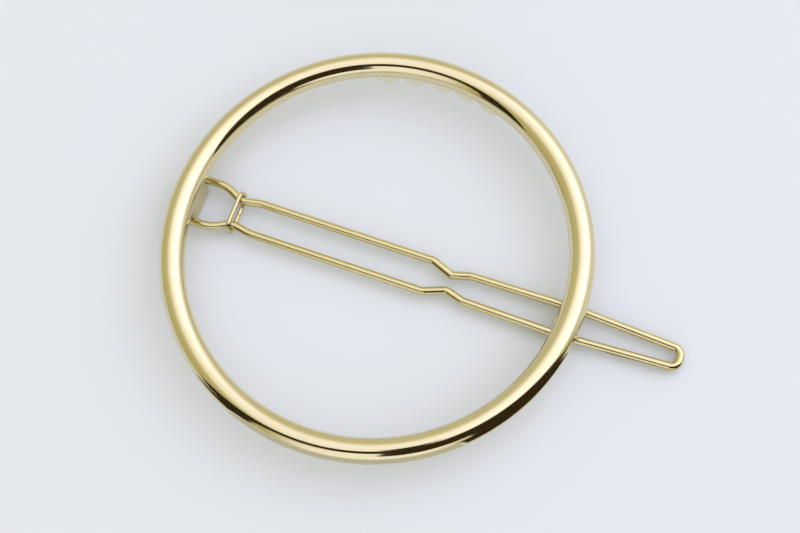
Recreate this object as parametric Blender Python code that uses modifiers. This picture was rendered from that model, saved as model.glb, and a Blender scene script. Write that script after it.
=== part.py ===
"""Round hair clip: a half-round metal ring with a hinged wire clasp behind it.

Lengths are in metres and +Z is up. The clip lies on its back: the domed front of
the ring looks up, and the hinge ear and the catch stand on the ground at z = 0.
The clasp runs along +X, from its hinge under one side of the ring to a round tip
past the other side. The comb is on the +Y side. The origin is under the middle of
the clip's outer box.
"""

import math

import bmesh
import bpy
from mathutils import Matrix, Vector

# Ring: a half-round section with a short straight flank and a flat back
RING_OUTER_DIAMETER = 0.045
BAND_WIDTH = 0.00265
DOME_HEIGHT = 0.00135
FLANK_HEIGHT = 0.00045
BACK_EDGE_RADIUS = 0.00015
RING_STEPS = 120
DOME_STEPS = 12
BACK_EDGE_STEPS = 2

# Stand: how high the ring's back is carried, and how far cast features root in it
BACK_HEIGHT = 0.00385
ROOT_DEPTH = 0.0003

# Clasp wire
WIRE_DIAMETER = 0.0009
WIRE_BEVEL_RESOLUTION = 4
HAIR_GAP = 0.00205
PIN_BEND_RADIUS = 0.00055
PIN_LENGTH = 0.0015
EAR_RUN = 0.0029
SHOULDER_BEND_RADIUS = 0.0042
WAIST_FROM_HINGE = 0.00485
WAIST_HALF_SPREAD = 0.00137
WAIST_BEND_RADIUS = 0.0018
HIP_RUN = 0.0022
LEG_HALF_SPREAD = 0.00179
HIP_BEND_RADIUS = 0.003
PINCH_TO_CATCH = 0.01305
PINCH_HALF_SPREAD = 0.00088
PINCH_BEND_RADIUS = 0.0006
PINCH_LEAD = 0.00235
PINCH_LEAD_BEND_RADIUS = 0.0012
PINCH_TAIL = 0.00195
PINCH_TAIL_HALF_SPREAD = 0.00145
PINCH_TAIL_BEND_RADIUS = 0.0018
CATCH_HALF_SPREAD = 0.00164
CATCH_BEND_RADIUS = 0.012
TIP_OVERHANG = 0.0108
TIP_HALF_SPREAD = 0.00102
TIP_BEND_RADIUS = 0.0009
TIP_DROP = 0.0005
BEND_STEP_DEGREES = 10.0

# Hinge ear
HINGE_INSET = 0.00155
EAR_WIDTH = 0.0039
EAR_INNER_WALL = 0.00035
EAR_OUTER_WALL = 0.0006
EAR_CORNER_RADIUS = 0.0006
EAR_EDGE_RADIUS = 0.0004
PIN_CLEARANCE = 0.00008
EAR_SIDE_CLEARANCE = 0.00007
BORE_SEGMENTS = 32

# Catch: a narrow neck between the legs and a wider head under them
CATCH_OUTER_INSET = 0.0004
CATCH_NECK_LENGTH = 0.0022
CATCH_NECK_WIDTH = 0.0017
CATCH_NECK_CORNER_RADIUS = 0.0005
CATCH_HEAD_REACH = 0.00045
CATCH_HEAD_HEIGHT = 0.00052
CATCH_HEAD_CORNER_RADIUS = 0.0008
CATCH_SIDE_CLEARANCE = 0.00006
CATCH_EDGE_RADIUS = 0.0002

# Comb: a strip behind the ring's inner edge, its lower rim a wave of round teeth.
# A fullness of 1 is an even wave, and less makes the teeth wider than the valleys.
COMB_TOOTH_COUNT = 5
COMB_TOOTH_PITCH = 0.0029
COMB_VALLEY_DEPTH = 0.00015
COMB_TIP_DEPTH = 0.0014
COMB_TOOTH_FULLNESS = 0.55
COMB_THICKNESS = 0.0009
COMB_SETBACK = 0.00002
COMB_TOOTH_STEPS = 12

# Collar: a thinner wire bent round both legs at their waist
COLLAR_WIRE_DIAMETER = 0.00045
COLLAR_BEVEL_RESOLUTION = 3
COLLAR_CLEARANCE = 0.00006
COLLAR_LEAN_DEGREES = 12.0
COLLAR_END_GAP = 0.00012
COLLAR_BEND_STEP_DEGREES = 20.0

# Facets round each upright corner and each lower rim of a cast block
BLOCK_CORNER_STEPS = 4
BLOCK_EDGE_STEPS = 3
# Extra length with which a cutter runs past what it cuts
CUT_OVERRUN = 0.0005
# Distance under which the points of a seam or a cap are one point
MERGE_DISTANCE = 0.000001

RING_RADIUS = RING_OUTER_DIAMETER / 2
RING_INNER_RADIUS = RING_RADIUS - BAND_WIDTH
WIRE_RADIUS = WIRE_DIAMETER / 2
COLLAR_WIRE_RADIUS = COLLAR_WIRE_DIAMETER / 2

HINGE_X = HINGE_INSET - RING_RADIUS
HINGE_Z = BACK_HEIGHT - HAIR_GAP - WIRE_RADIUS
WAIST_X = HINGE_X + WAIST_FROM_HINGE
CATCH_OUTER_X = RING_RADIUS - CATCH_OUTER_INSET
CATCH_NECK_X = CATCH_OUTER_X - CATCH_NECK_LENGTH
CATCH_X = (CATCH_NECK_X + CATCH_OUTER_X) / 2
PINCH_X = CATCH_X - PINCH_TO_CATCH
TIP_X = RING_RADIUS + TIP_OVERHANG - WIRE_RADIUS

# The origin is under the middle of the outer box, so the ring's centre is off it
RING_CENTRE_X = -TIP_OVERHANG / 2

GOLD_PLATE = (0.83, 0.66, 0.36, 1.0)
GOLD_PLATE_ROUGHNESS = 0.12
GOLD_WIRE = (0.80, 0.67, 0.40, 1.0)
GOLD_WIRE_ROUGHNESS = 0.15
# Edges that turn more than this are drawn sharp
SHARP_EDGE_DEGREES = 40.0


def clear_scene():
    for old in list(bpy.data.objects):
        bpy.data.objects.remove(old, do_unlink=True)


def new_collection(name):
    collection = bpy.data.collections.new(name)
    bpy.context.scene.collection.children.link(collection)
    return collection


def metal(name, color, roughness):
    material = bpy.data.materials.new(name)
    material.use_nodes = True
    shader = material.node_tree.nodes["Principled BSDF"]
    shader.inputs["Base Color"].default_value = color
    shader.inputs["Metallic"].default_value = 1.0
    shader.inputs["Roughness"].default_value = roughness
    return material


def add_object(name, data, collection, parent):
    piece = bpy.data.objects.new(name, data)
    collection.objects.link(piece)
    piece.parent = parent
    return piece


def add_empty(name, location, collection, parent):
    empty = add_object(name, None, collection, parent)
    empty.location = location
    return empty


def mesh_from(bm, name):
    bmesh.ops.recalc_face_normals(bm, faces=bm.faces)
    mesh = bpy.data.meshes.new(name)
    bm.to_mesh(mesh)
    bm.free()
    return mesh


def finish(piece, material):
    piece.data.materials.clear()
    piece.data.materials.append(material)
    piece.data.shade_smooth()
    piece.data.set_sharp_from_angle(angle=math.radians(SHARP_EDGE_DEGREES))


def as_guide(piece):
    """Hides a body that only cuts or joins another one."""
    piece.hide_render = True
    piece.display_type = "WIRE"
    return piece


def boolean(target, tool, operation):
    modifier = target.modifiers.new(f"{operation.lower()}_{tool.name}", "BOOLEAN")
    modifier.operation = operation
    modifier.object = tool


# Bent wires


def wire_points(corners, step_degrees):
    """Points of a wire through corners, each given as (place, bend radius)."""
    points = [corners[0][0]]
    for before, (corner, radius), after in zip(corners, corners[1:], corners[2:]):
        arriving = (corner - before[0]).normalized()
        leaving = (after[0] - corner).normalized()
        turn = arriving.angle(leaving)
        inward = (leaving - arriving).normalized()
        centre = corner + inward * (radius / math.cos(turn / 2))
        start = corner - arriving * (radius * math.tan(turn / 2))
        spoke = start - centre
        axis = arriving.cross(leaving).normalized()
        steps = max(1, round(math.degrees(turn) / step_degrees))
        for step in range(steps + 1):
            swing = Matrix.Rotation(turn * step / steps, 3, axis)
            points.append(centre + swing @ spoke)
    points.append(corners[-1][0])
    return points


def wire_mesh(points, diameter, bevel_resolution, name):
    """A closed round wire along the points, as a mesh with welded end caps."""
    curve = bpy.data.curves.new(name, "CURVE")
    curve.dimensions = "3D"
    curve.bevel_depth = diameter / 2
    curve.bevel_resolution = bevel_resolution
    curve.use_fill_caps = True
    spline = curve.splines.new("POLY")
    spline.points.add(len(points) - 1)
    for point, place in zip(spline.points, points):
        point.co = (place.x, place.y, place.z, 1.0)
    guide = bpy.data.objects.new(name, curve)
    bpy.context.scene.collection.objects.link(guide)
    depsgraph = bpy.context.evaluated_depsgraph_get()
    mesh = bpy.data.meshes.new_from_object(guide.evaluated_get(depsgraph))
    bpy.data.objects.remove(guide, do_unlink=True)
    bm = bmesh.new()
    bm.from_mesh(mesh)
    bmesh.ops.remove_doubles(bm, verts=bm.verts, dist=MERGE_DISTANCE)
    bpy.data.meshes.remove(mesh)
    return mesh_from(bm, name)


# Cast bodies


def band_profile():
    """The ring's section, from the dome's top down the outer side and round the back."""
    middle = RING_RADIUS - BAND_WIDTH / 2
    widest = BACK_HEIGHT + FLANK_HEIGHT
    outline = []
    for step in range(DOME_STEPS // 2 + 1):
        angle = math.radians(90.0) * (1 - 2 * step / DOME_STEPS)
        across = math.cos(angle) * BAND_WIDTH / 2
        outline.append((middle + across, widest + math.sin(angle) * DOME_HEIGHT))
    for step in range(BACK_EDGE_STEPS + 1):
        angle = math.radians(-90.0) * step / BACK_EDGE_STEPS
        across = RING_RADIUS - BACK_EDGE_RADIUS * (1 - math.cos(angle))
        outline.append((across, BACK_HEIGHT + BACK_EDGE_RADIUS * (1 + math.sin(angle))))
    inner_half = [(2 * middle - x, z) for x, z in reversed(outline[1:])]
    return outline + inner_half


def make_band(name, collection, parent):
    """The plain ring, its section turned about its own axis."""
    bm = bmesh.new()
    verts = [bm.verts.new((x, 0.0, z)) for x, z in band_profile()]
    for start, end in zip(verts, verts[1:] + verts[:1]):
        bm.edges.new((start, end))
    mesh = bpy.data.meshes.new(name)
    bm.to_mesh(mesh)
    bm.free()
    band = add_object(name, mesh, collection, parent)
    screw = band.modifiers.new("turn", "SCREW")
    screw.axis = "Z"
    screw.angle = math.radians(360.0)
    screw.steps = RING_STEPS
    screw.render_steps = RING_STEPS
    screw.use_merge_vertices = True
    screw.merge_threshold = MERGE_DISTANCE
    return band


def block(name, low, high, corner_radius, edge_radius, collection, parent):
    """A cast block, square on top, with round upright corners and a round lower rim."""
    bm = bmesh.new()
    bmesh.ops.create_cube(bm, size=1.0)
    size = high - low
    bmesh.ops.scale(bm, vec=size, verts=bm.verts)
    bmesh.ops.translate(bm, vec=(low + high) / 2, verts=bm.verts)
    upright = [e for e in bm.edges if abs(e.verts[0].co.z - e.verts[1].co.z) > size.z / 2]
    bmesh.ops.bevel(bm, geom=upright, offset=corner_radius, offset_type="OFFSET",
                    segments=BLOCK_CORNER_STEPS, profile=0.5, affect="EDGES", material=-1,
                    clamp_overlap=True)
    bottom = min(bm.faces, key=lambda face: face.calc_center_median().z)
    bmesh.ops.bevel(bm, geom=list(bottom.edges), offset=edge_radius, offset_type="OFFSET",
                    segments=BLOCK_EDGE_STEPS, profile=0.5, affect="EDGES", material=-1,
                    clamp_overlap=True)
    return as_guide(add_object(name, mesh_from(bm, name), collection, parent))


def rod_along(name, axis, radius, length, centre, segments, collection, parent):
    bm = bmesh.new()
    bmesh.ops.create_cone(bm, cap_ends=True, segments=segments, radius1=radius,
                          radius2=radius, depth=length)
    turn = Vector((0.0, 0.0, 1.0)).rotation_difference(axis).to_matrix()
    bmesh.ops.rotate(bm, cent=(0.0, 0.0, 0.0), matrix=turn, verts=bm.verts)
    bmesh.ops.translate(bm, vec=centre, verts=bm.verts)
    return as_guide(add_object(name, mesh_from(bm, name), collection, parent))


def make_ear(collection, parent):
    """The hinge ear under the ring's -X side, which carries the clasp's two pins."""
    bore_radius = WIRE_RADIUS + PIN_CLEARANCE
    low = Vector((HINGE_X - bore_radius - EAR_OUTER_WALL, -EAR_WIDTH / 2, 0.0))
    high = Vector((HINGE_X + bore_radius + EAR_INNER_WALL, EAR_WIDTH / 2,
                   BACK_HEIGHT + ROOT_DEPTH))
    return block("ear_block", low, high, EAR_CORNER_RADIUS, EAR_EDGE_RADIUS, collection, parent)


def make_bore(collection, parent):
    return rod_along("pin_bore", Vector((0.0, 1.0, 0.0)), WIRE_RADIUS + PIN_CLEARANCE,
                     EAR_WIDTH + 2 * CUT_OVERRUN, Vector((HINGE_X, 0.0, HINGE_Z)),
                     BORE_SEGMENTS, collection, parent)


def make_catch(collection, parent):
    """The catch's neck and head. The head fits between the legs as they swing past."""
    neck_half = CATCH_NECK_WIDTH / 2
    neck = block("catch_neck",
                 Vector((CATCH_NECK_X, -neck_half, CATCH_HEAD_HEIGHT / 2)),
                 Vector((CATCH_OUTER_X, neck_half, BACK_HEIGHT + ROOT_DEPTH)),
                 CATCH_NECK_CORNER_RADIUS, CATCH_EDGE_RADIUS, collection, parent)
    head_half = leg_spread(CATCH_OUTER_X) - WIRE_RADIUS - CATCH_SIDE_CLEARANCE
    head = block("catch_head",
                 Vector((CATCH_NECK_X - CATCH_HEAD_REACH, -head_half, 0.0)),
                 Vector((CATCH_OUTER_X, head_half, CATCH_HEAD_HEIGHT)),
                 CATCH_HEAD_CORNER_RADIUS, CATCH_EDGE_RADIUS, collection, parent)
    return [neck, head]


def make_comb(collection, parent):
    """The comb, a strip bent with the ring and rooted in its flat back."""
    steps = COMB_TOOTH_COUNT * COMB_TOOTH_STEPS
    radius = RING_INNER_RADIUS + COMB_SETBACK + COMB_THICKNESS / 2
    length = COMB_TOOTH_COUNT * COMB_TOOTH_PITCH
    rims = ([], [])
    bm = bmesh.new()
    for step in range(steps + 1):
        wave = (1 - math.cos(math.radians(360.0) * step / COMB_TOOTH_STEPS)) / 2
        reach = (COMB_TIP_DEPTH - COMB_VALLEY_DEPTH) * wave ** COMB_TOOTH_FULLNESS
        angle = (step / steps - 1 / 2) * length / radius
        heights = (BACK_HEIGHT + ROOT_DEPTH, BACK_HEIGHT - COMB_VALLEY_DEPTH - reach)
        for rim, z in zip(rims, heights):
            rim.append(bm.verts.new((radius * math.sin(angle), radius * math.cos(angle), z)))
    for step in range(steps):
        bm.faces.new((rims[0][step], rims[0][step + 1], rims[1][step + 1], rims[1][step]))
    comb = add_object("comb_strip", mesh_from(bm, "comb_strip"), collection, parent)
    thicken = comb.modifiers.new("thicken", "SOLIDIFY")
    thicken.thickness = COMB_THICKNESS
    thicken.offset = 0.0
    return as_guide(comb)


# Clasp wire


def leg_spread(x):
    """How far a leg's centre line lies from the middle, between the catch and the tip."""
    share = (x - CATCH_X) / (TIP_X - CATCH_X)
    return CATCH_HALF_SPREAD + (TIP_HALF_SPREAD - CATCH_HALF_SPREAD) * share


def height_at(x):
    """Height of the clasp's centre line, which sinks evenly from the hinge to the tip."""
    return HINGE_Z - TIP_DROP * (x - HINGE_X) / (TIP_X - HINGE_X)


def clasp_half():
    """Corners of one half of the wire, from its pin's end to the tip, with bend radii."""
    ear_half = EAR_WIDTH / 2
    ear_spread = ear_half + EAR_SIDE_CLEARANCE + WIRE_RADIUS
    lead_x = PINCH_X - PINCH_LEAD
    tail_x = PINCH_X + PINCH_TAIL
    plan = [
        (HINGE_X, ear_half - PIN_LENGTH, 0.0),
        (HINGE_X, ear_spread, PIN_BEND_RADIUS),
        (HINGE_X + EAR_RUN, ear_spread, SHOULDER_BEND_RADIUS),
        (WAIST_X, WAIST_HALF_SPREAD, WAIST_BEND_RADIUS),
        (WAIST_X + HIP_RUN, LEG_HALF_SPREAD, HIP_BEND_RADIUS),
        (lead_x, LEG_HALF_SPREAD, PINCH_LEAD_BEND_RADIUS),
        (PINCH_X, PINCH_HALF_SPREAD, PINCH_BEND_RADIUS),
        (tail_x, PINCH_TAIL_HALF_SPREAD, PINCH_TAIL_BEND_RADIUS),
        (CATCH_X, CATCH_HALF_SPREAD, CATCH_BEND_RADIUS),
        (TIP_X, TIP_HALF_SPREAD, TIP_BEND_RADIUS),
    ]
    return [(Vector((x, y, height_at(x))), radius) for x, y, radius in plan]


def make_clasp_wire(collection, hinge):
    half = clasp_half()
    other_half = [(Vector((p.x, -p.y, p.z)), radius) for p, radius in reversed(half)]
    axis_place = Vector((HINGE_X, 0.0, HINGE_Z))
    points = wire_points(half + other_half, BEND_STEP_DEGREES)
    mesh = wire_mesh([p - axis_place for p in points], WIRE_DIAMETER,
                     WIRE_BEVEL_RESOLUTION, "clasp_wire")
    return add_object("clasp_wire", mesh, collection, hinge)


def make_wire_collar(collection, hinge):
    """The collar, bent round both legs, its ends meeting under them."""
    stand_off = WIRE_RADIUS + COLLAR_CLEARANCE + COLLAR_WIRE_RADIUS
    shoulder, waist, hip = [place for place, radius in clasp_half()[2:5]]
    turn = (waist - shoulder).angle(hip - waist)
    half_width = waist.y + WAIST_BEND_RADIUS * (1 / math.cos(turn / 2) - 1) + stand_off
    end_y = COLLAR_END_GAP / 2
    corners = [
        (Vector((0.0, end_y, -stand_off)), 0.0),
        (Vector((0.0, half_width, -stand_off)), stand_off),
        (Vector((0.0, half_width, stand_off)), stand_off),
        (Vector((0.0, -half_width, stand_off)), stand_off),
        (Vector((0.0, -half_width, -stand_off)), stand_off),
        (Vector((0.0, -end_y, -stand_off)), 0.0),
    ]
    lean = Matrix.Rotation(math.radians(-COLLAR_LEAN_DEGREES), 3, "Y")
    points = [lean @ point for point in wire_points(corners, COLLAR_BEND_STEP_DEGREES)]
    mesh = wire_mesh(points, COLLAR_WIRE_DIAMETER, COLLAR_BEVEL_RESOLUTION, "wire_collar")
    collar = add_object("wire_collar", mesh, collection, hinge)
    collar.location = (waist.x - HINGE_X, 0.0, waist.z - HINGE_Z)
    return collar


def build():
    clear_scene()
    parts = new_collection("round_hair_clip")
    guides = new_collection("joining_and_cutting_bodies")
    plate = metal("gold_plated_casting", GOLD_PLATE, GOLD_PLATE_ROUGHNESS)
    wire = metal("gold_plated_wire", GOLD_WIRE, GOLD_WIRE_ROUGHNESS)

    clip = add_empty("clip_centre", (RING_CENTRE_X, 0.0, 0.0), parts, None)
    hinge = add_empty("clasp_hinge", (HINGE_X, 0.0, HINGE_Z), parts, clip)

    ring_frame = make_band("ring_frame", parts, clip)
    boolean(ring_frame, make_ear(guides, clip), "UNION")
    for body in make_catch(guides, clip):
        boolean(ring_frame, body, "UNION")
    boolean(ring_frame, make_comb(guides, clip), "UNION")
    boolean(ring_frame, make_bore(guides, clip), "DIFFERENCE")
    finish(ring_frame, plate)

    finish(make_clasp_wire(parts, hinge), wire)
    finish(make_wire_collar(parts, hinge), wire)


build()
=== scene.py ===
# %% [markdown]
# # A round hair clip in pale gold plate
#
# The clip is an open ring with a half-round section. Behind it a springy wire
# clasp hangs on a small ear, crosses the ring and snaps over a catch on the
# other side. A short comb behind the top keeps it from sliding out of the hair.
# The CAD model has the right sizes but flat facets, and a polished metal shows
# every facet. So each piece is made again here with fine, smooth surfaces in
# exactly the same place, and the CAD solids stay hidden as the moving frame.

# %% Load the CAD frame
import math

import bmesh
import bpy
from mathutils import Matrix, Vector


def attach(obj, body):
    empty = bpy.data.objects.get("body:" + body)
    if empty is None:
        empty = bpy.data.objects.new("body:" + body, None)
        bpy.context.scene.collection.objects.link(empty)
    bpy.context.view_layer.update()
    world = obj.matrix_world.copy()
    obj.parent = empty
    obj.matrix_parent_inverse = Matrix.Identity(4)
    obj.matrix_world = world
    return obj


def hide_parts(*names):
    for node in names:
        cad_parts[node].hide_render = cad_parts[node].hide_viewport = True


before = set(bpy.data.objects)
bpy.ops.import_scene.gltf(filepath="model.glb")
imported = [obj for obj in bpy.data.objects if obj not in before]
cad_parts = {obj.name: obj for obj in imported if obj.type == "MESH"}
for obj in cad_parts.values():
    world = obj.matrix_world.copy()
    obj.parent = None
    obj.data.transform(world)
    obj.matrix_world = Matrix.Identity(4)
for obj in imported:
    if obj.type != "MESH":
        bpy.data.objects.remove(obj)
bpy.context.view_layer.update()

# %% [markdown]
# ## Sizes and the shared frame
#
# Everything is in metres. The clip lies on its back on the ground, z = 0, with
# the ring's domed front up. Hinge, catch and ring are easiest to think of from
# the ring's centre, so the pieces are made round that centre and then moved to
# its place in the frame as their mesh is kept.

# %% Millimetres and the ring's centre
MM = 0.001
RING_CENTRE_X = -5.4 * MM
print("the ring's centre is at x, mm:", round(RING_CENTRE_X / MM, 2))

# %% [markdown]
# ## The camera
#
# The photograph is taken from close by and steeply from above. The ring's
# outline in it is an ellipse that is slightly larger on the near side, and both
# facts together fix how the camera is tilted and how far away it is. Its three
# axes are written down as they were worked out: to the right, up, and back
# towards the camera.

# %% Camera at the photograph's viewing angle
CAMERA_RIGHT = Vector((0.93872, 0.34162, -0.04575))
CAMERA_UP = Vector((-0.30801, 0.89103, 0.33346))
CAMERA_BACK = Vector((0.15468, -0.29893, 0.94166))
RING_WIDEST_HEIGHT = 4.3 * MM
CAMERA_DISTANCE = 153.0 * MM
CAMERA_TO_RIGHT = 2.507 * MM
CAMERA_DOWN = 1.805 * MM
CAMERA_NEAREST = 2.0 * MM
SENSOR_WIDTH_MM = 36.0
FOCAL_LENGTH_MM = 66.744

camera_data = bpy.data.cameras.new("photograph_camera")
camera_data.sensor_width = SENSOR_WIDTH_MM
camera_data.lens = FOCAL_LENGTH_MM
camera_data.clip_start = CAMERA_NEAREST
camera = bpy.data.objects.new("photograph_camera", camera_data)
bpy.context.scene.collection.objects.link(camera)
ring_middle = Vector((RING_CENTRE_X, 0.0, RING_WIDEST_HEIGHT))
camera_place = (ring_middle + CAMERA_RIGHT * CAMERA_TO_RIGHT - CAMERA_UP * CAMERA_DOWN
                + CAMERA_BACK * CAMERA_DISTANCE)
turned = Matrix((CAMERA_RIGHT, CAMERA_UP, CAMERA_BACK)).transposed().to_4x4()
camera.matrix_world = Matrix.Translation(camera_place) @ turned
bpy.context.scene.camera = camera
print("camera at, mm:", [round(v / MM, 1) for v in camera_place])

# %% [markdown]
# ## Keeping a piece
#
# Every piece ends the same way: its seams are welded, all its faces are turned
# outwards, and its mesh is moved to the ring's place while the object itself
# stays at the origin. Smooth shading rounds the small facets off, and edges
# that turn sharply stay crisp.

# %% Keep a piece
WELD = 0.001 * MM
SHARP_EDGE = math.radians(35.0)


def keep_piece(bm, name):
    """Welds a piece, turns its faces outwards, moves it to its place and keeps it."""
    bmesh.ops.translate(bm, verts=bm.verts, vec=(RING_CENTRE_X, 0.0, 0.0))
    bmesh.ops.remove_doubles(bm, verts=bm.verts, dist=WELD)
    bmesh.ops.recalc_face_normals(bm, faces=bm.faces)
    open_edges = sum(1 for edge in bm.edges if not edge.is_manifold)
    mesh = bpy.data.meshes.new(name)
    bm.to_mesh(mesh)
    bm.free()
    mesh.shade_smooth()
    mesh.set_sharp_from_angle(angle=SHARP_EDGE)
    piece = bpy.data.objects.new(name, mesh)
    bpy.context.scene.collection.objects.link(piece)
    print(name, "faces:", len(mesh.polygons), "open edges:", open_edges)
    return piece


print("edges stay crisp from, degrees:", round(math.degrees(SHARP_EDGE), 1))

# %% [markdown]
# ## The ring
#
# The real ring is cast and polished. Its section is a half-round dome on a low
# straight flank, with a flat back. A torus with one side cut off would be
# close, but its flank could not be set. So the section is drawn the way it is
# described: up the outer flank, over the dome by spinning one point half a
# turn, down the inner flank and straight back. Then the section is spun once
# round the ring's own axis, and the two sharp back edges are rounded.

# %% Ring sizes
RING_RADIUS = 22.5 * MM
BAND_WIDTH = 2.65 * MM
BACK_HEIGHT = 3.85 * MM
DOME_HEIGHT = 1.35 * MM
FLANK_HEIGHT = 0.45 * MM
BACK_EDGE_RADIUS = 0.15 * MM
BACK_EDGE_STEPS = 5
# An edge that turns more than this, in radians, is one of the two back edges
BACK_EDGE_TURN = 1.0
DOME_STEPS = 32
RING_STEPS = 480


def extend(bm, vert, move):
    """Draws an edge from a vertex and returns its far end."""
    end = bmesh.ops.extrude_vert_indiv(bm, verts=[vert])["verts"][0]
    bmesh.ops.translate(bm, verts=[end], vec=move)
    return end


print("ring outside diameter and height over its back, mm:", round(2 * RING_RADIUS / MM, 2),
      round((FLANK_HEIGHT + DOME_HEIGHT) / MM, 2))

# %% Draw the section and spin it
half_width = BAND_WIDTH / 2
band_middle = RING_RADIUS - half_width
widest = BACK_HEIGHT + FLANK_HEIGHT

bm = bmesh.new()
outer_back = bm.verts.new((RING_RADIUS, 0.0, BACK_HEIGHT))
shoulder = extend(bm, outer_back, (0.0, 0.0, FLANK_HEIGHT))
dome = bmesh.ops.spin(bm, geom=[shoulder], cent=(band_middle, 0.0, widest),
                      axis=(0.0, -1.0, 0.0), angle=math.pi, steps=DOME_STEPS)
inner_shoulder = next(v for v in dome["geom_last"] if isinstance(v, bmesh.types.BMVert))
on_dome = [v for v in bm.verts if v.co.z > widest]
bmesh.ops.scale(bm, verts=on_dome, vec=(1.0, 1.0, DOME_HEIGHT / half_width),
                space=Matrix.Translation((0.0, 0.0, -widest)))
inner_back = extend(bm, inner_shoulder, (0.0, 0.0, -FLANK_HEIGHT))
bm.edges.new((inner_back, outer_back))
bmesh.ops.spin(bm, geom=list(bm.verts) + list(bm.edges), cent=(0.0, 0.0, 0.0),
               axis=(0.0, 0.0, 1.0), angle=2 * math.pi, steps=RING_STEPS, use_merge=True)
bmesh.ops.remove_doubles(bm, verts=bm.verts, dist=WELD)
bmesh.ops.recalc_face_normals(bm, faces=bm.faces)
back_edges = [e for e in bm.edges
              if all(v.co.z < BACK_HEIGHT + WELD for v in e.verts)
              and e.calc_face_angle() > BACK_EDGE_TURN]
bmesh.ops.bevel(bm, geom=back_edges, offset=BACK_EDGE_RADIUS, offset_type="OFFSET",
                segments=BACK_EDGE_STEPS, profile=0.5, affect="EDGES", material=-1)
ring = keep_piece(bm, "ring")

# %% [markdown]
# ## The hinge ear
#
# A small block stands behind the ring on the left. It is drilled through from
# side to side, and the two ends of the wire sit in that hole as hinge pins. A
# cube is scaled, its upright corners and its foot are rounded as a caster would
# round them, and the hole is drilled by taking a round rod away.

# %% Hinge sizes
WIRE_RADIUS = 0.45 * MM
HINGE_X = -20.95 * MM
HINGE_Z = 1.35 * MM
ROOT_DEPTH = 0.3 * MM
EAR_WIDTH = 3.9 * MM
EAR_INNER_WALL = 0.35 * MM
EAR_OUTER_WALL = 0.6 * MM
EAR_CORNER_RADIUS = 0.6 * MM
EAR_CORNER_STEPS = 8
EAR_FOOT_RADIUS = 0.4 * MM
EAR_FOOT_STEPS = 6
BORE_CLEARANCE = 0.08 * MM
BORE_RADIUS = WIRE_RADIUS + BORE_CLEARANCE
BORE_SIDES = 64
# An edge is upright if this much of its direction is along Z
UPRIGHT = 0.9


def block(low, high):
    """A cube scaled and moved to fill the box between two corners."""
    bm = bmesh.new()
    bmesh.ops.create_cube(bm, size=1.0)
    bmesh.ops.scale(bm, verts=bm.verts, vec=high - low)
    bmesh.ops.translate(bm, verts=bm.verts, vec=(low + high) / 2)
    return bm


def upright_edges(bm):
    """The edges that stand along Z."""
    return [e for e in bm.edges
            if abs((e.verts[0].co - e.verts[1].co).normalized().z) > UPRIGHT]


def round_edges(bm, edges, radius, segments):
    """Bevels some edges to a round of the given radius."""
    bmesh.ops.bevel(bm, geom=edges, offset=radius, offset_type="OFFSET", segments=segments,
                    profile=0.5, affect="EDGES", material=-1, clamp_overlap=True)


print("pin hole, mm:", round(2 * BORE_RADIUS / MM, 2), "wire, mm:", round(2 * WIRE_RADIUS / MM, 2))

# %% Cast the ear
low = Vector((HINGE_X - BORE_RADIUS - EAR_OUTER_WALL, -EAR_WIDTH / 2, 0.0))
high = Vector((HINGE_X + BORE_RADIUS + EAR_INNER_WALL, EAR_WIDTH / 2, BACK_HEIGHT + ROOT_DEPTH))
bm = block(low, high)
round_edges(bm, upright_edges(bm), EAR_CORNER_RADIUS, EAR_CORNER_STEPS)
foot = min(bm.faces, key=lambda face: face.calc_center_median().z)
round_edges(bm, list(foot.edges), EAR_FOOT_RADIUS, EAR_FOOT_STEPS)
ear = keep_piece(bm, "hinge_ear")

# %% Drill the pin hole
bm = bmesh.new()
bmesh.ops.create_cone(bm, cap_ends=True, segments=BORE_SIDES, radius1=BORE_RADIUS,
                      radius2=BORE_RADIUS, depth=2 * EAR_WIDTH)
bmesh.ops.rotate(bm, verts=bm.verts, cent=(0.0, 0.0, 0.0),
                 matrix=Matrix.Rotation(math.pi / 2, 3, "X"))
bmesh.ops.translate(bm, verts=bm.verts, vec=(HINGE_X, 0.0, HINGE_Z))
drill = keep_piece(bm, "drill")


def take_away(piece, cutter):
    """Cuts one piece with another, keeps the result as the mesh and removes the cutter."""
    cut = piece.modifiers.new("cut", "BOOLEAN")
    cut.operation = "DIFFERENCE"
    cut.object = cutter
    depsgraph = bpy.context.evaluated_depsgraph_get()
    mesh = bpy.data.meshes.new_from_object(piece.evaluated_get(depsgraph))
    mesh.name = piece.name
    piece.modifiers.clear()
    piece.data = mesh
    bpy.data.objects.remove(cutter, do_unlink=True)
    mesh.shade_smooth()
    mesh.set_sharp_from_angle(angle=SHARP_EDGE)
    print(piece.name, "after cutting, faces:", len(mesh.polygons))


take_away(ear, drill)

# %% [markdown]
# ## The catch
#
# Across from the ear a T-shaped post stands behind the ring: a narrow neck with
# a wider head at the ground, over which the two legs of the wire snap. It
# starts as the head. Its top face is drawn in to the neck's outline and pulled
# up into the ring's back, so head and neck are one skin as in the casting.

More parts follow.
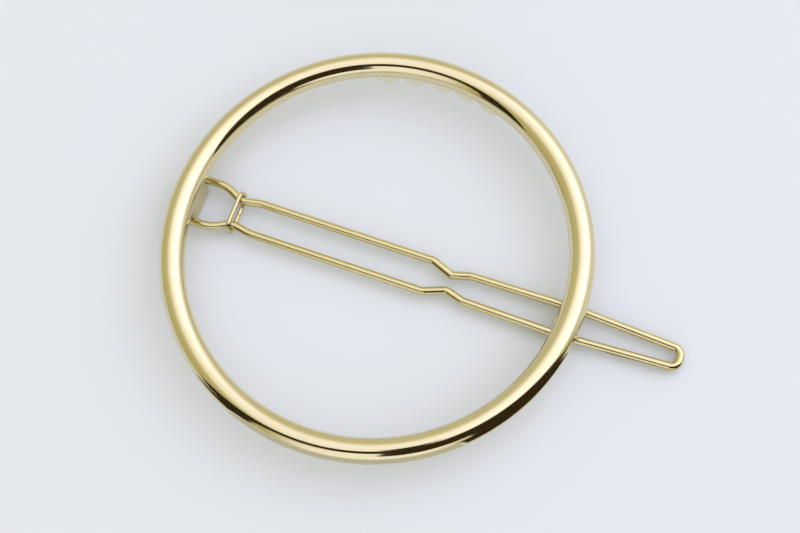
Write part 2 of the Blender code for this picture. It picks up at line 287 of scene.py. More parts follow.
# %% Catch sizes
CATCH_OUTER_X = 22.1 * MM
CATCH_NECK_LENGTH = 2.2 * MM
CATCH_NECK_X = CATCH_OUTER_X - CATCH_NECK_LENGTH
CATCH_NECK_HALF = 0.85 * MM
CATCH_HEAD_REACH = 0.45 * MM
CATCH_HEAD_HEIGHT = 0.52 * MM
CATCH_HEAD_HALF = 1.0724 * MM
CATCH_NECK_STEP = 0.03 * MM
CATCH_CORNER_RADIUS = 0.8 * MM
CATCH_CORNER_STEPS = 10
CATCH_FOOT_RADIUS = 0.2 * MM
CATCH_FOOT_STEPS = 5
NOSE_EDGE_RADIUS = 0.18 * MM
NOSE_EDGE_STEPS = 6
NOSE_MARGIN = 0.5 * MM
print("catch neck and head, mm:", round(2 * CATCH_NECK_HALF / MM, 2),
      round(2 * CATCH_HEAD_HALF / MM, 2))

# %% Cast the head and draw the neck up from it
head_x = CATCH_NECK_X - CATCH_HEAD_REACH
bm = block(Vector((head_x, -CATCH_HEAD_HALF, 0.0)),
           Vector((CATCH_OUTER_X, CATCH_HEAD_HALF, CATCH_HEAD_HEIGHT)))
round_edges(bm, upright_edges(bm), CATCH_CORNER_RADIUS, CATCH_CORNER_STEPS)
head_top = max(bm.faces, key=lambda face: face.calc_center_median().z)
neck_foot = bmesh.ops.extrude_discrete_faces(bm, faces=[head_top])["faces"][0]
head_length = CATCH_OUTER_X - head_x
outer_end = Matrix.Translation((-CATCH_OUTER_X, 0.0, 0.0))
bmesh.ops.scale(bm, verts=neck_foot.verts, space=outer_end,
                vec=((CATCH_NECK_LENGTH - CATCH_NECK_STEP) / head_length,
                     CATCH_NECK_HALF / CATCH_HEAD_HALF, 1.0))
bmesh.ops.translate(bm, verts=neck_foot.verts, vec=(-CATCH_NECK_STEP, 0.0, 0.0))
neck_top = bmesh.ops.extrude_discrete_faces(bm, faces=[neck_foot])["faces"][0]
bmesh.ops.translate(bm, verts=neck_top.verts,
                    vec=(0.0, 0.0, BACK_HEIGHT + ROOT_DEPTH - CATCH_HEAD_HEIGHT))
print("catch head length, mm:", round(head_length / MM, 2))

# %% Round the foot and the nose
# A face looks up if this much of its direction is along Z
LOOKS_UP = 0.5


def on_nose_rim(edge):
    """Whether an edge runs round the head's top, on the side of the nose."""
    level = all(abs(v.co.z - CATCH_HEAD_HEIGHT) < WELD for v in edge.verts)
    at_nose = all(v.co.x < CATCH_NECK_X + NOSE_MARGIN for v in edge.verts)
    faces_up = [f.normal.z > LOOKS_UP for f in edge.link_faces]
    return level and at_nose and any(faces_up) and not all(faces_up)


foot_rim = [e for e in bm.edges if all(v.co.z < WELD for v in e.verts)]
round_edges(bm, foot_rim, CATCH_FOOT_RADIUS, CATCH_FOOT_STEPS)
round_edges(bm, [e for e in bm.edges if on_nose_rim(e)], NOSE_EDGE_RADIUS, NOSE_EDGE_STEPS)
catch = keep_piece(bm, "catch")

# %% [markdown]
# ## The comb
#
# Behind the top of the ring a low strip is rooted in the ring's back. Its lower
# edge is a wave of five round teeth, which part the hair so that the clip grips.
# A grid is stood up, its lower edge is drawn down into the wave, it is given
# its thickness, its sharp rims are rounded, and at last it is bent to the ring.

# %% Comb sizes
TOOTH_COUNT = 5
TOOTH_PITCH = 2.9 * MM
VALLEY_DEPTH = 0.15 * MM
TOOTH_DEPTH = 1.4 * MM
TOOTH_FULLNESS = 0.55
COMB_THICKNESS = 0.9 * MM
COMB_SET_BACK = 0.02 * MM
RING_INNER_RADIUS = RING_RADIUS - BAND_WIDTH
COMB_RADIUS = RING_INNER_RADIUS + COMB_SET_BACK + COMB_THICKNESS / 2
COMB_LENGTH = TOOTH_COUNT * TOOTH_PITCH
COMB_RIM_RADIUS = 0.1 * MM
COMB_RIM_STEPS = 4
# In radians, as for the ring's back edges
COMB_RIM_TURN = 0.9
STEPS_A_TOOTH = 24


def wave_depth(along):
    """How far the comb reaches below the ring's back, along its length."""
    wave = (1 - math.cos(2 * math.pi * along / TOOTH_PITCH)) / 2
    return VALLEY_DEPTH + (TOOTH_DEPTH - VALLEY_DEPTH) * wave ** TOOTH_FULLNESS


print("comb length, mm:", round(COMB_LENGTH / MM, 1), "teeth:", TOOTH_COUNT)

# %% Cut the strip, thicken it and bend it
bm = bmesh.new()
bmesh.ops.create_grid(bm, x_segments=TOOTH_COUNT * STEPS_A_TOOTH, y_segments=2, size=0.5)
for vert in bm.verts:
    along = (vert.co.x + 0.5) * COMB_LENGTH
    share = vert.co.y + 0.5
    foot_z = BACK_HEIGHT - wave_depth(along)
    top_z = BACK_HEIGHT + ROOT_DEPTH
    vert.co = (along - COMB_LENGTH / 2, COMB_THICKNESS / 2, foot_z + (top_z - foot_z) * share)
bmesh.ops.recalc_face_normals(bm, faces=bm.faces)
bmesh.ops.solidify(bm, geom=list(bm.faces), thickness=COMB_THICKNESS)
bmesh.ops.recalc_face_normals(bm, faces=bm.faces)
across = sum(v.co.y for v in bm.verts) / len(bm.verts)
bmesh.ops.translate(bm, verts=bm.verts, vec=(0.0, -across, 0.0))
rims = [e for e in bm.edges if len(e.link_faces) == 2 and e.calc_face_angle() > COMB_RIM_TURN]
round_edges(bm, rims, COMB_RIM_RADIUS, COMB_RIM_STEPS)
for vert in bm.verts:
    angle = vert.co.x / COMB_RADIUS
    radius = COMB_RADIUS + vert.co.y
    vert.co = (radius * math.sin(angle), radius * math.cos(angle), vert.co.z)
comb = keep_piece(bm, "comb")

# %% [markdown]
# ## Bending wire
#
# The clasp is one springy wire. A wire bender feeds wire straight, then turns
# it round a pin of a given radius, then feeds again. The mesh is made by the
# same moves: a circle is extruded for each straight run and spun for each bend.
# Only the corners of the path and the bend radius at each are written down, and
# only one half, because the clasp is the same on both sides of its middle line.

# %% Start and feed
WIRE_SIDES = 32


def edges_of(geometry):
    """The edges among what an operator returns."""
    return [g for g in geometry if isinstance(g, bmesh.types.BMEdge)]


def feed(bm, rim, move):
    """Extrudes the wire's open end straight on and returns the new end."""
    new = bmesh.ops.extrude_edge_only(bm, edges=rim)["geom"]
    bmesh.ops.translate(bm, vec=move, verts=[g for g in new if isinstance(g, bmesh.types.BMVert)])
    return [e for e in edges_of(new) if len(e.link_faces) < 2]


print("wire sides:", WIRE_SIDES)

# %% Bend
BEND_STEP = math.radians(3.0)
FEWEST_BEND_STEPS = 2


def bend_wire(corners, wire_radius):
    """Half a wire, from its capped end through each corner with its bend radius."""
    bm = bmesh.new()
    bmesh.ops.create_circle(bm, cap_ends=True, segments=WIRE_SIDES, radius=wire_radius)
    heading = (corners[1][0] - corners[0][0]).normalized()
    turn_to = Vector((0.0, 0.0, 1.0)).rotation_difference(heading).to_matrix()
    bmesh.ops.rotate(bm, verts=bm.verts, cent=(0.0, 0.0, 0.0), matrix=turn_to)
    bmesh.ops.translate(bm, verts=bm.verts, vec=corners[0][0])
    rim = list(bm.edges)
    place = corners[0][0]
    for (before, _), (corner, radius), (after, _) in zip(corners, corners[1:], corners[2:]):
        arriving = (corner - before).normalized()
        leaving = (after - corner).normalized()
        turn = arriving.angle(leaving)
        start = corner - arriving * (radius * math.tan(turn / 2))
        centre = corner + (leaving - arriving).normalized() * (radius / math.cos(turn / 2))
        rim = feed(bm, rim, start - place)
        steps = max(FEWEST_BEND_STEPS, round(turn / BEND_STEP))
        bent = bmesh.ops.spin(bm, geom=rim + list({v for e in rim for v in e.verts}),
                              cent=centre, axis=arriving.cross(leaving).normalized(),
                              angle=turn, steps=steps)
        rim = edges_of(bent["geom_last"])
        place = corner + leaving * (radius * math.tan(turn / 2))
    feed(bm, rim, corners[-1][0] - place)
    return bm


def mirror_half(bm):
    """Adds the other half across the middle line, y = 0, and welds the two."""
    bmesh.ops.mirror(bm, geom=list(bm.verts) + list(bm.edges) + list(bm.faces),
                     matrix=Matrix.Identity(4), merge_dist=WELD, axis="Y")


print("bend step, degrees:", round(math.degrees(BEND_STEP), 1))

# %% [markdown]
# ## The clasp wire
#
# The wire's end turns in to be the hinge pin. Then the leg runs along, draws in
# to a waist where the collar sits, opens out, pinches in once so that the hair
# is gripped, straddles the catch and closes in a round tip past the ring. The
# whole wire lies in one plane that sinks half a millimetre towards the tip.

# %% Where the clasp bends, along the clip
TIP_REACH = 10.8 * MM
PINCH_TO_CATCH = 13.05 * MM

PIN_REACH = 1.5 * MM
SHOULDER_X = HINGE_X + 2.9 * MM
WAIST_X = HINGE_X + 4.85 * MM
LEG_START_X = WAIST_X + 2.2 * MM
CATCH_X = (CATCH_NECK_X + CATCH_OUTER_X) / 2
PINCH_X = CATCH_X - PINCH_TO_CATCH
PINCH_START_X = PINCH_X - 2.35 * MM
PINCH_END_X = PINCH_X + 1.95 * MM
TIP_X = RING_RADIUS + TIP_REACH - WIRE_RADIUS
print("clasp length, hinge to tip, mm:", round((TIP_X + WIRE_RADIUS - HINGE_X) / MM, 2))

# %% How far apart the legs are, and how tight each bend is
LEG_CLEARANCE = 0.07 * MM
EAR_HALF_SPREAD = EAR_WIDTH / 2 + LEG_CLEARANCE + WIRE_RADIUS
WAIST_HALF_SPREAD = 1.37 * MM
LEG_HALF_SPREAD = 1.79 * MM
PINCH_HALF_SPREAD = 0.88 * MM
PINCH_END_HALF_SPREAD = 1.45 * MM
CATCH_HALF_SPREAD = 1.64 * MM
TIP_HALF_SPREAD = 1.02 * MM

PIN_BEND_RADIUS = 0.55 * MM
SHOULDER_BEND_RADIUS = 4.2 * MM
WAIST_BEND_RADIUS = 1.8 * MM
LEG_BEND_RADIUS = 3.0 * MM
PINCH_START_BEND_RADIUS = 1.2 * MM
PINCH_BEND_RADIUS = 0.6 * MM
PINCH_END_BEND_RADIUS = 1.8 * MM
CATCH_BEND_RADIUS = 12.0 * MM
TIP_BEND_RADIUS = 0.9 * MM
print("room between the legs, mm:", round(2 * (LEG_HALF_SPREAD - WIRE_RADIUS) / MM, 2))

# %% The clasp's path
TIP_DROP = 0.5 * MM


def clasp_corner(x, y, radius):
    """A corner of the wire's path, at its height on the sinking plane."""
    z = HINGE_Z - TIP_DROP * (x - HINGE_X) / (TIP_X - HINGE_X)
    return Vector((x, y, z)), radius


clasp_corners = [
    clasp_corner(HINGE_X, EAR_WIDTH / 2 - PIN_REACH, 0.0),
    clasp_corner(HINGE_X, EAR_HALF_SPREAD, PIN_BEND_RADIUS),
    clasp_corner(SHOULDER_X, EAR_HALF_SPREAD, SHOULDER_BEND_RADIUS),
    clasp_corner(WAIST_X, WAIST_HALF_SPREAD, WAIST_BEND_RADIUS),
    clasp_corner(LEG_START_X, LEG_HALF_SPREAD, LEG_BEND_RADIUS),
    clasp_corner(PINCH_START_X, LEG_HALF_SPREAD, PINCH_START_BEND_RADIUS),
    clasp_corner(PINCH_X, PINCH_HALF_SPREAD, PINCH_BEND_RADIUS),
    clasp_corner(PINCH_END_X, PINCH_END_HALF_SPREAD, PINCH_END_BEND_RADIUS),
    clasp_corner(CATCH_X, CATCH_HALF_SPREAD, CATCH_BEND_RADIUS),
    clasp_corner(TIP_X, TIP_HALF_SPREAD, TIP_BEND_RADIUS),
    clasp_corner(TIP_X, 0.0, 0.0),
]
print("corners of half the clasp:", len(clasp_corners))

# %% Bend the clasp
bm = bend_wire(clasp_corners, WIRE_RADIUS)
mirror_half(bm)
clasp = keep_piece(bm, "clasp")

# %% [markdown]
# ## The collar
#
# A short piece of thinner wire is bent round both legs at their waist, so that
# they can't spread and let the pins out of the ear. Its ends meet under the
# legs, and it leans a little. It is bent flat by the same moves as the clasp,
# then leaned, and then carried to the waist.

# %% Collar sizes
COLLAR_WIRE_RADIUS = 0.225 * MM
COLLAR_CLEARANCE = 0.06 * MM
COLLAR_STAND_OFF = WIRE_RADIUS + COLLAR_CLEARANCE + COLLAR_WIRE_RADIUS
COLLAR_END_GAP = 0.12 * MM
COLLAR_LEAN = math.radians(12.0)

waist_before, waist, waist_after = [place for place, radius in clasp_corners[2:5]]
waist_turn = (waist - waist_before).angle(waist_after - waist)
waist_spread = waist.y + WAIST_BEND_RADIUS * (1 / math.cos(waist_turn / 2) - 1)
collar_half = waist_spread + COLLAR_STAND_OFF
print("collar is wide, mm:", round(2 * (collar_half + COLLAR_WIRE_RADIUS) / MM, 2))

# %% Bend the collar round the legs
collar_corners = [
    (Vector((0.0, COLLAR_END_GAP / 2, -COLLAR_STAND_OFF)), 0.0),
    (Vector((0.0, collar_half, -COLLAR_STAND_OFF)), COLLAR_STAND_OFF),
    (Vector((0.0, collar_half, COLLAR_STAND_OFF)), COLLAR_STAND_OFF),
    (Vector((0.0, 0.0, COLLAR_STAND_OFF)), 0.0),
]
bm = bend_wire(collar_corners, COLLAR_WIRE_RADIUS)
mirror_half(bm)
bmesh.ops.rotate(bm, verts=bm.verts, cent=(0.0, 0.0, 0.0),
                 matrix=Matrix.Rotation(-COLLAR_LEAN, 3, "Y"))
bmesh.ops.translate(bm, verts=bm.verts, vec=(waist.x, 0.0, waist.z))
collar = keep_piece(bm, "collar")

# %% [markdown]
# ## Colour and nodes
#
# Colours are easiest to read and compare as the hex values of a picture, which
# are in sRGB. A shader works with linear light, so one function turns them. One
# more adds a node to a material, sets it and links it, and every material below
# is built with it. The metals differ in their colours and in what polishing,
# casting or drawing left on them, and four small functions hold what they share.

# %% Hex colours and one helper for nodes
def linear(hex_colour):
    """An sRGB hex colour as linear red, green, blue and alpha, by the standard's numbers."""
    channels = [int(hex_colour[i:i + 2], 16) / 255 for i in (1, 3, 5)]
    light = [c / 12.92 if c <= 0.04045 else ((c + 0.055) / 1.055) ** 2.4 for c in channels]
    return (*light, 1.0)


def add_node(tree, kind, settings=None, inputs=None):
    """Adds a node, sets its settings, and sets or links its inputs."""
    node = tree.nodes.new(kind)
    for name, value in (settings or {}).items():
        setattr(node, name, value)
    for name, value in (inputs or {}).items():
        if isinstance(value, bpy.types.NodeSocket):
            tree.links.new(value, node.inputs[name])
        else:
            node.inputs[name].default_value = value
    return node


def new_material(name):
    """A new material and its empty tree, ready for nodes."""
    material = bpy.data.materials.new(name)
    material.use_nodes = True
    material.node_tree.nodes.clear()
    return material, material.node_tree


print("middle grey #808080 is, in linear light:", round(linear("#808080")[0], 3))

# %% What the metals share
# Nearly all of a noise lies between these two values
NOISE_LOW = 0.3
NOISE_HIGH = 0.7


def noise(tree, place, size, detail, settings=None):
    """A noise with lumps of about the given size and so many finer layers on them."""
    return add_node(tree, "ShaderNodeTexNoise", settings,
                    {"Vector": place, "Scale": 1 / size, "Detail": detail}).outputs["Fac"]


def roughness_by(tree, value, bright, dull, low=NOISE_LOW, high=NOISE_HIGH):
    """A roughness that goes from bright to dull as a noise goes from low to high."""
    return add_node(tree, "ShaderNodeMapRange", None,
                    {"Value": value, "From Min": low, "From Max": high,
                     "To Min": bright, "To Max": dull}).outputs["Result"]


def relief_by(tree, height, strength, depth):
    """A fine relief with the heights of a noise."""
    return add_node(tree, "ShaderNodeBump", None,
                    {"Height": height, "Strength": strength, "Distance": depth}).outputs["Normal"]


def plated_metal(tree, blend, tints, roughness, relief):
    """Ends a tree as metal, with two tints that a noise blends."""
    colour = add_node(tree, "ShaderNodeMix", {"data_type": "RGBA"},
                      {0: blend, 6: linear(tints[0]), 7: linear(tints[1])})
    shader = add_node(tree, "ShaderNodeBsdfPrincipled", None,
                      {"Base Color": colour.outputs[2], "Metallic": 1.0,
                       "Roughness": roughness, "Normal": relief})
    add_node(tree, "ShaderNodeOutputMaterial", None, {"Surface": shader.outputs["BSDF"]})


print("roughness is spread over noise values from", NOISE_LOW, "to", NOISE_HIGH)

# %% [markdown]
# ## Polished gold plate on the casting
#
# The casting is polished on a soft wheel and then plated with pale gold. The
# metal is nearly a mirror, so its look comes mostly from what stands round it.
# What gives it away as a real surface is small: the wheel leaves very fine
# lines that run round the ring, the polish is a little duller in places, and
# the plate is a touch redder here and paler there. The lines follow the ring
# because their pattern depends only on the distance from the ring's axis and on
# the height.

# %% Polished gold plate
PLATE_HEX = "#E4DAB5"
PLATE_WARM_HEX = "#E0D3A5"
POLISH_LINE = 0.12 * MM
POLISH_LINE_DEPTH = 0.002 * MM
POLISH_LINE_STRENGTH = 0.25
POLISH_PATCH = 4.0 * MM
POLISH_BRIGHT = 0.07
POLISH_DULL = 0.12
# How many finer layers the noises for lines and for patches have
LINE_DETAIL = 3.0
PATCH_DETAIL = 2.0

plate, tree = new_material("polished_gold_plate")
place = add_node(tree, "ShaderNodeTexCoord").outputs["Object"]
centred = add_node(tree, "ShaderNodeVectorMath", {"operation": "SUBTRACT"},
                   {0: place, 1: (RING_CENTRE_X, 0.0, 0.0)}).outputs["Vector"]
flat = add_node(tree, "ShaderNodeVectorMath", {"operation": "MULTIPLY"},
                {0: centred, 1: (1.0, 1.0, 0.0)}).outputs["Vector"]
radius = add_node(tree, "ShaderNodeVectorMath", {"operation": "LENGTH"},
                  {0: flat}).outputs["Value"]
height = add_node(tree, "ShaderNodeSeparateXYZ", None, {0: centred}).outputs["Z"]
round_ring = add_node(tree, "ShaderNodeCombineXYZ", None,
                      {"X": radius, "Y": height}).outputs["Vector"]
lines = noise(tree, round_ring, POLISH_LINE, LINE_DETAIL, {"noise_dimensions": "2D"})
patches = noise(tree, place, POLISH_PATCH, PATCH_DETAIL)
plated_metal(tree, patches, (PLATE_HEX, PLATE_WARM_HEX),
             roughness_by(tree, patches, POLISH_BRIGHT, POLISH_DULL),
             relief_by(tree, lines, POLISH_LINE_STRENGTH, POLISH_LINE_DEPTH))
print(plate.name, "nodes:", len(tree.nodes))

# %% [markdown]
# ## Satin gold plate behind the ring
#
# Nobody polishes between the teeth of the comb, nor the ear and the catch. They
# keep the fine grain of the casting under their plate, so they look softer than
# the ring and mirror nothing clearly. The plate is thin and pale between the
# comb's teeth, and painted light makes the comb paler still. The plate is fuller
# and warmer on the ear and the catch, which stand out.

# %% Satin gold plate
CASTING_GRAIN = 0.12 * MM
CASTING_GRAIN_DEPTH = 0.02 * MM
CASTING_GRAIN_STRENGTH = 0.5
CASTING_GRAIN_DETAIL = 4.0
CASTING_CLOUD = 1.5 * MM
SATIN_BRIGHT = 0.3
SATIN_DULL = 0.5


def satin_plate(name, pale_hex, dark_hex):
    """Plated casting as it left the mould: cloudy in colour, finely grained."""
    material, tree = new_material(name)
    place = add_node(tree, "ShaderNodeTexCoord").outputs["Object"]
    grain = noise(tree, place, CASTING_GRAIN, CASTING_GRAIN_DETAIL)
    clouds = noise(tree, place, CASTING_CLOUD, PATCH_DETAIL)
    plated_metal(tree, clouds, (pale_hex, dark_hex),
                 roughness_by(tree, grain, SATIN_BRIGHT, SATIN_DULL, low=0.0, high=1.0),
                 relief_by(tree, grain, CASTING_GRAIN_STRENGTH, CASTING_GRAIN_DEPTH))
    print(name, "nodes:", len(tree.nodes))
    return material


# The comb's near-white tints are partly its own pale plate and partly painted light that brightens
# it
pale_satin_and_painted_light = satin_plate("pale_satin_plate_and_painted_light", "#F6F1DC", "#EEE8CC")
warm_satin = satin_plate("warm_satin_gold_plate", "#E6DDB4", "#D9CC9A")

# %% [markdown]
# ## Drawn wire under gold plate
#
# Spring wire is pulled through a die, which leaves faint lines along it, and the
# thin plate keeps them. Almost all of the clasp runs along X, so a noise that is
# stretched along X stands for the lines.

# %% Gold-plated drawn wire
WIRE_HEX = "#DED4A4"
WIRE_WARM_HEX = "#CFC18B"
DRAW_LINE = 0.06 * MM
DRAW_LINE_DEPTH = 0.003 * MM
DRAW_LINE_STRENGTH = 0.3
DRAW_LENGTH = 3.0 * MM
WIRE_PATCH = 2.5 * MM
WIRE_BRIGHT = 0.1
WIRE_DULL = 0.18

wire_plate, tree = new_material("gold_plated_drawn_wire")
place = add_node(tree, "ShaderNodeTexCoord").outputs["Object"]
stretched = add_node(tree, "ShaderNodeMapping", None,
                     {"Vector": place, "Scale": (1 / DRAW_LENGTH, 1 / DRAW_LINE, 1 / DRAW_LINE)})
# The mapping has set the noise's size, so the size here is one
lines = noise(tree, stretched.outputs["Vector"], 1.0, LINE_DETAIL)
patches = noise(tree, place, WIRE_PATCH, PATCH_DETAIL)
plated_metal(tree, patches, (WIRE_HEX, WIRE_WARM_HEX),
             roughness_by(tree, lines, WIRE_BRIGHT, WIRE_DULL),
             relief_by(tree, lines, DRAW_LINE_STRENGTH, DRAW_LINE_DEPTH))
print(wire_plate.name, "nodes:", len(tree.nodes))

# %% [markdown]
# ## Which body each piece moves with
#
# Ring, ear, catch and comb are one casting and stay still. The clasp and its
# collar swing on the hinge. Each piece is given its material and stands for the
# CAD solid it was made after, which is hidden.

# %% Ride, replace and finish
for piece, body, node, slot, material in (
        (ring, "frame", "ring_frame", "gold_plated_casting", plate),
        (ear, "frame", "ring_frame", "gold_plated_casting", warm_satin),
        (catch, "frame", "ring_frame", "gold_plated_casting", warm_satin),
        (comb, "frame", "ring_frame", "gold_plated_casting", pale_satin_and_painted_light),
        (clasp, "clasp", "clasp_wire", "gold_plated_wire", wire_plate),
        (collar, "clasp", "wire_collar", "gold_plated_wire", wire_plate)):
    piece.data.materials.clear()
    piece.data.materials.append(material)
    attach(piece, body)
    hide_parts(node)
    print(piece.name, "rides", body, "for", node, "in", material.name)

# %% [markdown]
# ## The light tent
#
# A polished metal is photographed inside a tent of cloth with lamps behind it,
# because it shows its surroundings and little else. The tent here is a large
# ball round the clip. Its sides glow faintly in the khaki of a warm room. The
# lamps add cool daylight: at the right, overhead, faintly over the back, and low
# in front, behind the window of the card that follows. Khaki light in gold gives
# its deep tones, and cool light its nearly white ones. The camera looks through
# the tent, and metal and floor see it.

# %% Tent cloth and the patch that a lamp lights on it
TENT_RADIUS = 1.6
SIDE_HEX = "#C3BD89"
LAMP_HEX = "#D0D3FF"


def towards(azimuth, elevation):
    """A direction from two angles in degrees, azimuth from +X towards +Y."""
    a, e = math.radians(azimuth), math.radians(elevation)
    return (math.cos(e) * math.cos(a), math.cos(e) * math.sin(a), math.sin(e))


def lit_patch(tree, outward, centre, wide, narrow, strength):
    """How much a lamp behind the cloth adds, full inside one angle and none past another."""
    facing = add_node(tree, "ShaderNodeVectorMath", {"operation": "DOT_PRODUCT"},
                      {0: outward, 1: centre}).outputs["Value"]
    return add_node(tree, "ShaderNodeMapRange", {"interpolation_type": "SMOOTHSTEP"},
                    {"Value": facing, "From Min": math.cos(math.radians(wide)),
                     "From Max": math.cos(math.radians(narrow)),
                     "To Min": 0.0, "To Max": strength}).outputs["Result"]


print("tent radius, m:", TENT_RADIUS)

# %% Light the cloth
# Each lamp: where it stands, the angles at which it ends and is full, its strength
LAMPS = {
    "high_right": (towards(41.5, 48.7), 41.8, 31.5, 0.35),
    "right": (towards(46.8, 29.7), 44.7, 2.2, 0.67),
    "wide_back": (towards(90.7, 42.0), 110.0, 5.5, 0.24),
    "overhead": (towards(21.9, 72.5), 58.0, 26.0, 0.84),
    "behind_the_window": (towards(286.0, 20.0), 40.0, 20.0, 0.95),
}

cloth, tree = new_material("tent_cloth")
place = add_node(tree, "ShaderNodeTexCoord").outputs["Object"]
outward = add_node(tree, "ShaderNodeVectorMath", {"operation": "NORMALIZE"},
                   {0: place}).outputs["Vector"]
patches = [lit_patch(tree, outward, *lamp) for lamp in LAMPS.values()]
lamps = patches[0]
for patch in patches[1:]:
    lamps = add_node(tree, "ShaderNodeMath", {"operation": "ADD"},
                     {0: lamps, 1: patch}).outputs[0]
side_glow = add_node(tree, "ShaderNodeEmission", None,
                     {"Color": linear(SIDE_HEX), "Strength": 1.0})
lamp_glow = add_node(tree, "ShaderNodeEmission", None,
                     {"Color": linear(LAMP_HEX), "Strength": lamps})
glow = add_node(tree, "ShaderNodeAddShader", None,
                {0: side_glow.outputs[0], 1: lamp_glow.outputs[0]})
add_node(tree, "ShaderNodeOutputMaterial", None, {"Surface": glow.outputs[0]})
cloth.cycles.emission_sampling = "NONE"
print(cloth.name, "lamps:", sorted(LAMPS), "nodes:", len(tree.nodes))

# %% Tent
TENT_SUBDIVISIONS = 4


def keep_prop(bm, name, material):
    """Keeps a thing that stands or lies round the clip."""
    mesh = bpy.data.meshes.new(name)
    bm.to_mesh(mesh)
    bm.free()
    mesh.materials.append(material)
    prop = bpy.data.objects.new(name, mesh)
    bpy.context.scene.collection.objects.link(prop)
    print(name, "faces:", len(mesh.polygons))
    return prop


bm = bmesh.new()
bmesh.ops.create_icosphere(bm, subdivisions=TENT_SUBDIVISIONS, radius=TENT_RADIUS)
bmesh.ops.reverse_faces(bm, faces=bm.faces)
tent = keep_prop(bm, "light_tent", cloth)
tent.visible_camera = False
tent.visible_shadow = False

# %% [markdown]
# ## The black card
#
# A tent that is bright all round makes gold look flat. A plain brown-black card
# in front of the clip, with a window in it for the light of the lamp behind it,
# gives the metal its thin dark lines. The card is only there to be mirrored, so
# it glows faintly by itself and needs no light. Its arch is half a circle spun
# from one point and scaled to its height. The window's outline is drawn on from
# the arch's foot.

# %% Card stock, and the card's outline in parts of its distance
def glowing_stock(name, hex_colour):
    """Stock for what is only there to be mirrored: it glows in one colour."""
    material, tree = new_material(name)
    shader = add_node(tree, "ShaderNodeEmission", None,
                      {"Color": linear(hex_colour), "Strength": 1.0})
    add_node(tree, "ShaderNodeOutputMaterial", None, {"Surface": shader.outputs[0]})
    print(name, "radiance:", [round(c, 3) for c in linear(hex_colour)[:3]])
    return material


# The same black is also painted shade on the table sheets below
card_and_painted_shade_black = glowing_stock("black_card", "#362C1C")

CARD_MIDDLE = 0.45
CARD_HALF_WIDTH = 3.05
CARD_HEIGHT = 3.0
CARD_FOOT = -0.5
ARCH_STEPS = 48
WINDOW_LEFT = -1.1
WINDOW_TURNS = ((0.0, 1.2), (0.2, 0.47), (0.85, 0.0), (0.0, -0.7), (0.65, -0.1))

# %% Cut the card and stand it up
CARD_DISTANCE = 0.3
CARD_AZIMUTH = 289.5
CUT_AZIMUTH = 270.0

bm = bmesh.new()
first = bm.verts.new((CARD_MIDDLE + CARD_HALF_WIDTH, 0.0, 0.0))
spun = bmesh.ops.spin(bm, geom=[first], cent=(CARD_MIDDLE, 0.0, 0.0), axis=(0.0, -1.0, 0.0),
                      angle=math.pi, steps=ARCH_STEPS)
bmesh.ops.scale(bm, verts=bm.verts, vec=(1.0, 1.0, CARD_HEIGHT / CARD_HALF_WIDTH))
left = next(v for v in spun["geom_last"] if isinstance(v, bmesh.types.BMVert))
right_foot = extend(bm, first, (0.0, 0.0, CARD_FOOT))
corner = extend(bm, left, (0.0, 0.0, CARD_FOOT))
corner = extend(bm, corner, (WINDOW_LEFT - corner.co.x, 0.0, 0.0))
for along, up in WINDOW_TURNS:
    corner = extend(bm, corner, (along, 0.0, up))
corner = extend(bm, corner, (0.0, 0.0, CARD_FOOT - corner.co.z))
bm.edges.new((corner, right_foot))
bmesh.ops.triangle_fill(bm, edges=list(bm.edges), use_beauty=True)
bmesh.ops.scale(bm, verts=bm.verts, vec=(CARD_DISTANCE, CARD_DISTANCE, CARD_DISTANCE))
bmesh.ops.translate(bm, verts=bm.verts, vec=(0.0, -CARD_DISTANCE, 0.0))
bmesh.ops.rotate(bm, verts=bm.verts, cent=(0.0, 0.0, 0.0),
                 matrix=Matrix.Rotation(math.radians(CARD_AZIMUTH - CUT_AZIMUTH), 3, "Z"))
card = keep_prop(bm, "black_card", card_and_painted_shade_black)

# %% [markdown]
# ## Painted shade on the table, and the lens
#
# The table is mirrored low on the ring's flanks. Sheets on it are painted shade:
# they glow dark where the table lies in shade. Black ones to the left and right
# carry the dark lines on below the horizon, and between them a grey one darkens
# the rim a little. A farther black one goes on past the clasp's tip and leaves the
# tip itself free, and the wire's flanks mirror it as dark lines. The lens is a
# black disc, which the straight legs of the wire mirror along their middle.

# %% Grey painted shade and a wedge cut from a sheet
SHEET_HEIGHT = 0.2 * MM
SHEET_STEPS = 24

# Painted shade: a grey that glows in the tone of the table where it lies in shade
painted_shade_grey = glowing_stock("grey_painted_shade", "#CACBCE")


def flat_sheet(name, near, far, begin, end, stock):
    """A flat wedge round the ring's axis, between two radii and two angles in degrees."""
    bm = bmesh.new()
    ends = [bm.verts.new((radius, 0.0, SHEET_HEIGHT)) for radius in (near, far)]
    edge = bm.edges.new(ends)
    bmesh.ops.rotate(bm, verts=ends, cent=(0.0, 0.0, 0.0),
                     matrix=Matrix.Rotation(math.radians(begin), 3, "Z"))
    bmesh.ops.spin(bm, geom=[*ends, edge], cent=(0.0, 0.0, 0.0), axis=(0.0, 0.0, 1.0),
                   angle=math.radians(end - begin), steps=SHEET_STEPS)
    bmesh.ops.translate(bm, verts=bm.verts, vec=(RING_CENTRE_X, 0.0, 0.0))
    return keep_prop(bm, name, stock)


print("sheets lie, mm above the floor:", round(SHEET_HEIGHT / MM, 2))

# %% Lay the painted shade sheets
SHEET_REACH = 500.0 * MM
FRONT_SHEET_REACH = 55.0 * MM
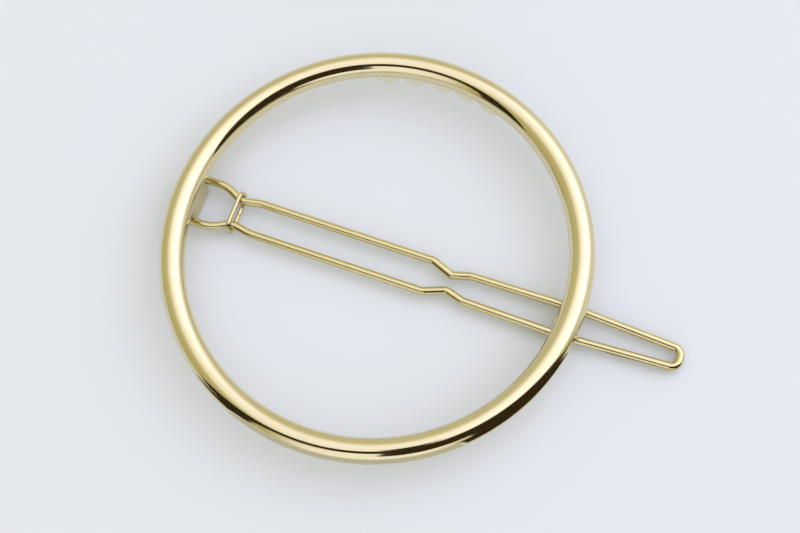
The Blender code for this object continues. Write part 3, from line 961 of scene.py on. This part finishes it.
# The sheets are painted shade: they glow dark where the table lies in shade
# Each sheet's name, near and far radius, first and last angle, and stock
SHEETS = (
    ("left_painted_shade_sheet", 31.0 * MM, SHEET_REACH, 230.0, 244.0, card_and_painted_shade_black),
    ("right_painted_shade_sheet", 26.0 * MM, SHEET_REACH, 315.0, 353.0, card_and_painted_shade_black),
    ("far_painted_shade_sheet", 40.0 * MM, SHEET_REACH, 353.0, 364.0, card_and_painted_shade_black),
    ("front_painted_shade_sheet", 24.0 * MM, FRONT_SHEET_REACH, 246.0, 314.0, painted_shade_grey),
)
mirrored = [card] + [flat_sheet(*sheet) for sheet in SHEETS]
print("sheets laid:", len(SHEETS))

# %% Hang the lens and let only the metal see all these
LENS_RADIUS = 15.0 * MM
LENS_SIDES = 48

bm = bmesh.new()
bmesh.ops.create_circle(bm, cap_ends=True, segments=LENS_SIDES, radius=LENS_RADIUS)
bmesh.ops.transform(bm, matrix=camera.matrix_world, verts=bm.verts)
mirrored.append(keep_prop(bm, "lens_disc", card_and_painted_shade_black))
for piece in mirrored:
    for seen_by in ("camera", "diffuse", "shadow", "transmission"):
        setattr(piece, f"visible_{seen_by}", False)
    print(piece.name, "is only mirrored")

# %% [markdown]
# ## The floor and the background
#
# The clip lies on a plain sheet of pale, matt card. Behind it, for the views
# from the side, the world has nearly the same plain colour.

# %% Pale card for the floor
FLOOR_HEX = "#E1E6EA"
FLOOR_ROUGHNESS = 0.9
FIBRE_SIZE = 0.4 * MM
FIBRE_DEPTH = 0.01 * MM
FIBRE_STRENGTH = 0.1

paper, tree = new_material("matt_pale_card")
place = add_node(tree, "ShaderNodeTexCoord").outputs["Object"]
fibres = noise(tree, place, FIBRE_SIZE, LINE_DETAIL)
shader = add_node(tree, "ShaderNodeBsdfPrincipled", None,
                  {"Base Color": linear(FLOOR_HEX), "Roughness": FLOOR_ROUGHNESS,
                   "Specular IOR Level": 0.0,
                   "Normal": relief_by(tree, fibres, FIBRE_STRENGTH, FIBRE_DEPTH)})
add_node(tree, "ShaderNodeOutputMaterial", None, {"Surface": shader.outputs["BSDF"]})
print(paper.name, "colour:", [round(c, 3) for c in linear(FLOOR_HEX)[:3]])

# %% Floor and background
FLOOR_SIDES = 128
BACKGROUND_HEX = "#ECEEF3"

bm = bmesh.new()
bmesh.ops.create_circle(bm, cap_ends=True, segments=FLOOR_SIDES, radius=TENT_RADIUS)
floor = keep_prop(bm, "floor", paper)

world = bpy.data.worlds.new("plain_background")
bpy.context.scene.world = world
world.use_nodes = True
world.node_tree.nodes.clear()
background = add_node(world.node_tree, "ShaderNodeBackground", None,
                      {"Color": linear(BACKGROUND_HEX), "Strength": 1.0})
add_node(world.node_tree, "ShaderNodeOutputWorld", None, {"Surface": background.outputs[0]})

bpy.context.scene.view_settings.view_transform = "Standard"
print("floor radius, m:", TENT_RADIUS, "background:", BACKGROUND_HEX)
